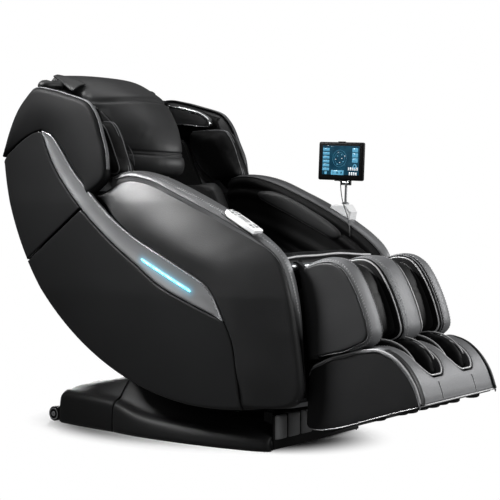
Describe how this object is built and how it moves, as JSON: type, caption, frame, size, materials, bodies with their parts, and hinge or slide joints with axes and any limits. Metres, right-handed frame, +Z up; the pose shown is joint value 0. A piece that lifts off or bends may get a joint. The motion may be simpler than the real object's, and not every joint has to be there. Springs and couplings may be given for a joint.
{
  "type": "massage chair",
  "caption": "Reclining massage chair with shell sides, rising leg unit, foot wells, shoulder wings, and a tablet on the armrest.",
  "frame": {"origin": "centre of the chair's bounding box, on the floor", "axes": "+Z up; the sitter faces -Y, and +X is on the sitter's left"},
  "size_m": [0.768, 1.479, 1.1401],
  "materials": {
    "satin_shell": "satin black painted plastic",
    "black_leather": "soft black synthetic leather",
    "grey_leather": "dark grey metallic synthetic leather",
    "silver_trim": "silver-grey satin paint",
    "cyan_light": "translucent light bar",
    "frame_steel": "powder-coated steel",
    "bare_steel": "bright steel",
    "frame_aluminium": "plain aluminium",
    "base_plastic": "black moulded plastic",
    "white_plastic": "white gloss plastic",
    "tablet_black": "black gloss plastic with a display",
    "roller_rubber": "black rubber",
    "cable_white": "pale cable sheath"
  },
  "bodies": {
    "base": {"base_frame": "frame_steel", "base_cover": "base_plastic", "rear_base_cover": "base_plastic", "front_slats": "grey_leather", "power_inlet": "base_plastic"},
    "front_roller": {"guide_roller_front": "roller_rubber"},
    "rear_roller": {"guide_roller_rear": "roller_rubber"},
    "transport_wheel_R": {"transport_wheel_R": "roller_rubber"},
    "transport_wheel_L": {"transport_wheel_L": "roller_rubber"},
    "power_rocker": {"power_switch": "base_plastic"},
    "cradle": {"belly_shell": "satin_shell", "back_shell": "satin_shell", "guide_rail_R": "bare_steel", "guide_rail_L": "bare_steel", "lower_panel_R": "satin_shell", "lower_panel_L": "satin_shell", "quarter_panel_R": "satin_shell", "quarter_panel_L": "satin_shell", "shoulder_panel_R": "satin_shell", "shoulder_panel_L": "satin_shell", "trim_strip_R": "silver_trim", "trim_strip_L": "silver_trim", "led_bar_R": "cyan_light", "led_bar_L": "cyan_light", "arm_panel_R": "black_leather", "arm_panel_L": "black_leather", "arm_band_R": "grey_leather", "arm_band_L": "grey_leather", "side_frame_R": "black_leather", "side_frame_L": "black_leather", "arm_pad_R": "grey_leather", "arm_pad_L": "grey_leather", "wing_pad_R": "black_leather", "wing_pad_L": "black_leather", "speaker_R": "silver_trim", "speaker_L": "silver_trim", "seat_cushion": "black_leather", "back_cushion": "black_leather", "head_pillow": "grey_leather", "track_plate": "frame_aluminium", "leg_shaft": "bare_steel", "control_pod": "white_plastic", "tablet_holder": "white_plastic", "tablet_cable": "cable_white"},
    "pod_button": {"pod_button": "tablet_black"},
    "carriage": {"massage_carriage": "bare_steel"},
    "knead_arm_R": {"knead_arm_R": "bare_steel"},
    "knead_arm_L": {"knead_arm_L": "bare_steel"},
    "knead_roller_R": {"knead_roller_R": "roller_rubber"},
    "knead_roller_L": {"knead_roller_L": "roller_rubber"},
    "leg": {"calf_back": "black_leather", "calf_wall_R": "grey_leather", "calf_wall_C": "grey_leather", "calf_wall_L": "grey_leather"},
    "foot": {"foot_frame": "base_plastic", "foot_shell": "grey_leather"},
    "foot_roller_R": {"foot_roller_R": "roller_rubber"},
    "foot_roller_L": {"foot_roller_L": "roller_rubber"},
    "mast": {"tablet_mast": "bare_steel"},
    "tablet": {"tablet_housing": "tablet_black"}
  },
  "joints": [
    {"name": "cradle_recline", "type": "hinge", "parent": "base", "child": "cradle", "pos_m": [0, -0.1285, 1], "axis": [-1, 0, 0], "range_deg": [0, 30]},
    {"name": "front_roller_spin", "type": "hinge", "parent": "base", "child": "front_roller", "pos_m": [0, -0.20812, 0.08998], "axis": [1, 0, 0], "range_deg": [-10, 1350]},
    {"name": "rear_roller_spin", "type": "hinge", "parent": "base", "child": "rear_roller", "pos_m": [0, 0.2137, 0.15302], "axis": [1, 0, 0], "range_deg": [-10, 1350]},
    {"name": "transport_wheel_R_spin", "type": "hinge", "parent": "base", "child": "transport_wheel_R", "pos_m": [-0.186, 0.6505, 0.0244], "axis": [1, 0, 0], "continuous": true},
    {"name": "transport_wheel_L_spin", "type": "hinge", "parent": "base", "child": "transport_wheel_L", "pos_m": [0.186, 0.6505, 0.0244], "axis": [1, 0, 0], "continuous": true},
    {"name": "power_rock", "type": "hinge", "parent": "base", "child": "power_rocker", "pos_m": [-0.13, 0.628, 0.059], "axis": [1, 0, 0], "range_deg": [-8, 8]},
    {"name": "pod_button_press", "type": "slide", "parent": "cradle", "child": "pod_button", "axis": [0, 0.4848, -0.8746], "range_m": [0, 0.0015], "stiffness_N_per_m": 400},
    {"name": "carriage_travel", "type": "slide", "parent": "cradle", "child": "carriage", "axis": [0, 0.454, 0.891], "range_m": [-0.18, 0.24]},
    {"name": "knead_arm_R_swing", "type": "hinge", "parent": "carriage", "child": "knead_arm_R", "pos_m": [-0.062, 0.36767, 0.631], "axis": [1, 0, 0], "range_deg": [-8, 8]},
    {"name": "knead_arm_L_swing", "type": "hinge", "parent": "carriage", "child": "knead_arm_L", "pos_m": [0.062, 0.36767, 0.631], "axis": [1, 0, 0], "range_deg": [-8, 8]},
    {"name": "knead_roller_R_spin", "type": "hinge", "parent": "knead_arm_R", "child": "knead_roller_R", "pos_m": [-0.088, 0.41112, 0.69863], "axis": [1, 0, 0], "continuous": true},
    {"name": "knead_roller_L_spin", "type": "hinge", "parent": "knead_arm_L", "child": "knead_roller_L", "pos_m": [0.088, 0.41112, 0.69863], "axis": [1, 0, 0], "continuous": true},
    {"name": "leg_raise", "type": "hinge", "parent": "cradle", "child": "leg", "pos_m": [0, -0.3335, 0.535], "axis": [-1, 0, 0], "range_deg": [0, 80]},
    {"name": "foot_extend", "type": "slide", "parent": "leg", "child": "foot", "axis": [0, -0.1207, -0.9927], "range_m": [0, 0.06]},
    {"name": "foot_roller_R_spin", "type": "hinge", "parent": "foot", "child": "foot_roller_R", "pos_m": [-0.09, -0.5485, 0.16], "axis": [1, 0, 0], "continuous": true},
    {"name": "foot_roller_L_spin", "type": "hinge", "parent": "foot", "child": "foot_roller_L", "pos_m": [0.09, -0.5485, 0.16], "axis": [1, 0, 0], "continuous": true},
    {"name": "mast_swivel", "type": "hinge", "parent": "cradle", "child": "mast", "pos_m": [0.3, -0.1695, 0.714], "axis": [0, -0.0436, 0.999], "range_deg": [-40, 40]},
    {"name": "tablet_tilt", "type": "hinge", "parent": "mast", "child": "tablet", "pos_m": [0.3, -0.17251, 0.78293], "axis": [0, 0.999, 0.0436], "range_deg": [-15, 20]}
  ],
  "couplings": [
    {"joint": "front_roller_spin", "follows": "cradle_recline", "ratio": 44.65},
    {"joint": "rear_roller_spin", "follows": "cradle_recline", "ratio": 44.65}
  ]
}
